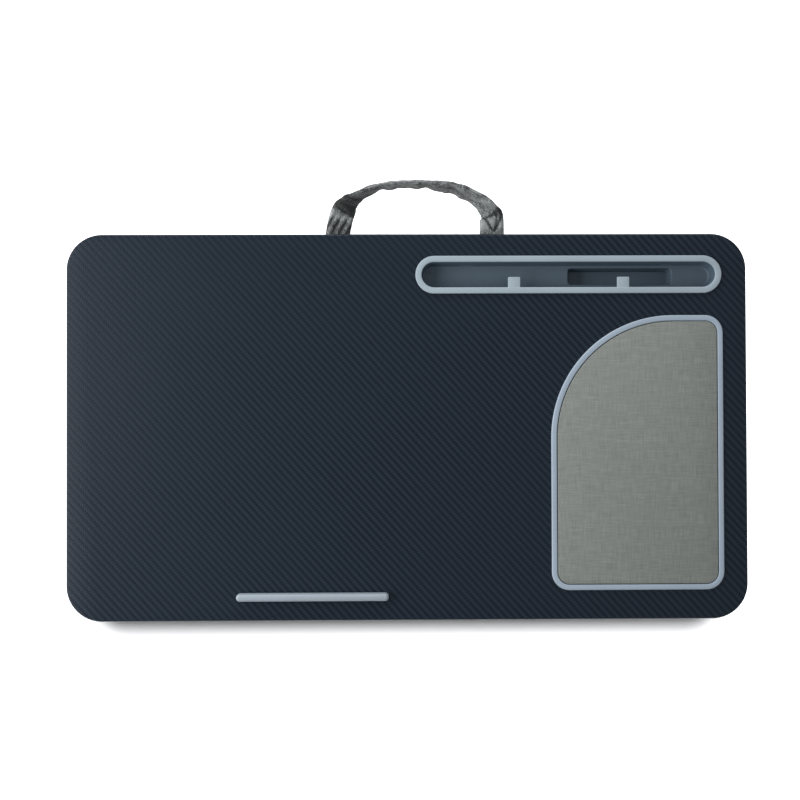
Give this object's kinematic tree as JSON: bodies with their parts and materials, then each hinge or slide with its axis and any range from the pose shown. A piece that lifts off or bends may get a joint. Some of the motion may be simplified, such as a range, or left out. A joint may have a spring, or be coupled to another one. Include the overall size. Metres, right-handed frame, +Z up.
{
  "type": "lap desk",
  "caption": "Flat lap desk with a sunk device tray and phone pocket, a framed mouse pad, a device ledge, a carry strap and soft bolsters underneath.",
  "frame": {"origin": "middle of the whole object in plan, on the surface that the bolsters stand on", "axes": "+X to the right of the person who uses it, +Y to the back edge with the strap, +Z up"},
  "size_m": [0.536, 0.348, 0.0742],
  "materials": {
    "core_panel": "matte",
    "dark_laminate": "satin",
    "tray_plastic": "satin",
    "frame_plastic": "satin",
    "pad_cloth": "matte",
    "pad_rubber": "matte",
    "ledge_rubber": "satin",
    "screw_steel": "satin",
    "strap_fabric": "matte",
    "cover_fabric": "matte",
    "bag_fabric": "matte",
    "staple_wire": "polished"
  },
  "bodies": {
    "root": {"board_core": "core_panel", "carbon_laminate": "dark_laminate", "device_tray": "tray_plastic", "mouse_pad_frame": "frame_plastic", "mouse_pad_cloth": "pad_cloth", "mouse_pad_backing": "pad_rubber", "device_ledge": "ledge_rubber", "ledge_screw_left": "screw_steel", "ledge_screw_right": "screw_steel", "handle_end_left": "strap_fabric", "handle_end_right": "strap_fabric", "bolster_cover_left": "cover_fabric", "bolster_cover_right": "cover_fabric", "inner_bag_left": "bag_fabric", "inner_bag_right": "bag_fabric", "centre_panel": "cover_fabric", "cover_staple_left_1": "staple_wire", "cover_staple_left_2": "staple_wire", "cover_staple_left_3": "staple_wire", "cover_staple_left_4": "staple_wire", "cover_staple_left_5": "staple_wire", "cover_staple_left_6": "staple_wire", "cover_staple_left_7": "staple_wire", "cover_staple_left_8": "staple_wire", "cover_staple_left_9": "staple_wire", "cover_staple_left_10": "staple_wire", "cover_staple_right_1": "staple_wire", "cover_staple_right_2": "staple_wire", "cover_staple_right_3": "staple_wire", "cover_staple_right_4": "staple_wire", "cover_staple_right_5": "staple_wire", "cover_staple_right_6": "staple_wire", "cover_staple_right_7": "staple_wire", "cover_staple_right_8": "staple_wire", "cover_staple_right_9": "staple_wire", "cover_staple_right_10": "staple_wire", "strap_staple_left_1": "staple_wire", "strap_staple_left_2": "staple_wire", "strap_staple_right_1": "staple_wire", "strap_staple_right_2": "staple_wire"},
    "handle": {"handle_strap": "strap_fabric"}
  },
  "joints": [
    {"name": "strap_swing", "type": "hinge", "parent": "root", "child": "handle", "pos_m": [0.0064, 0.1326, 0.0539], "axis": [1, 0, 0], "range_deg": [-85, 90]}
  ]
}
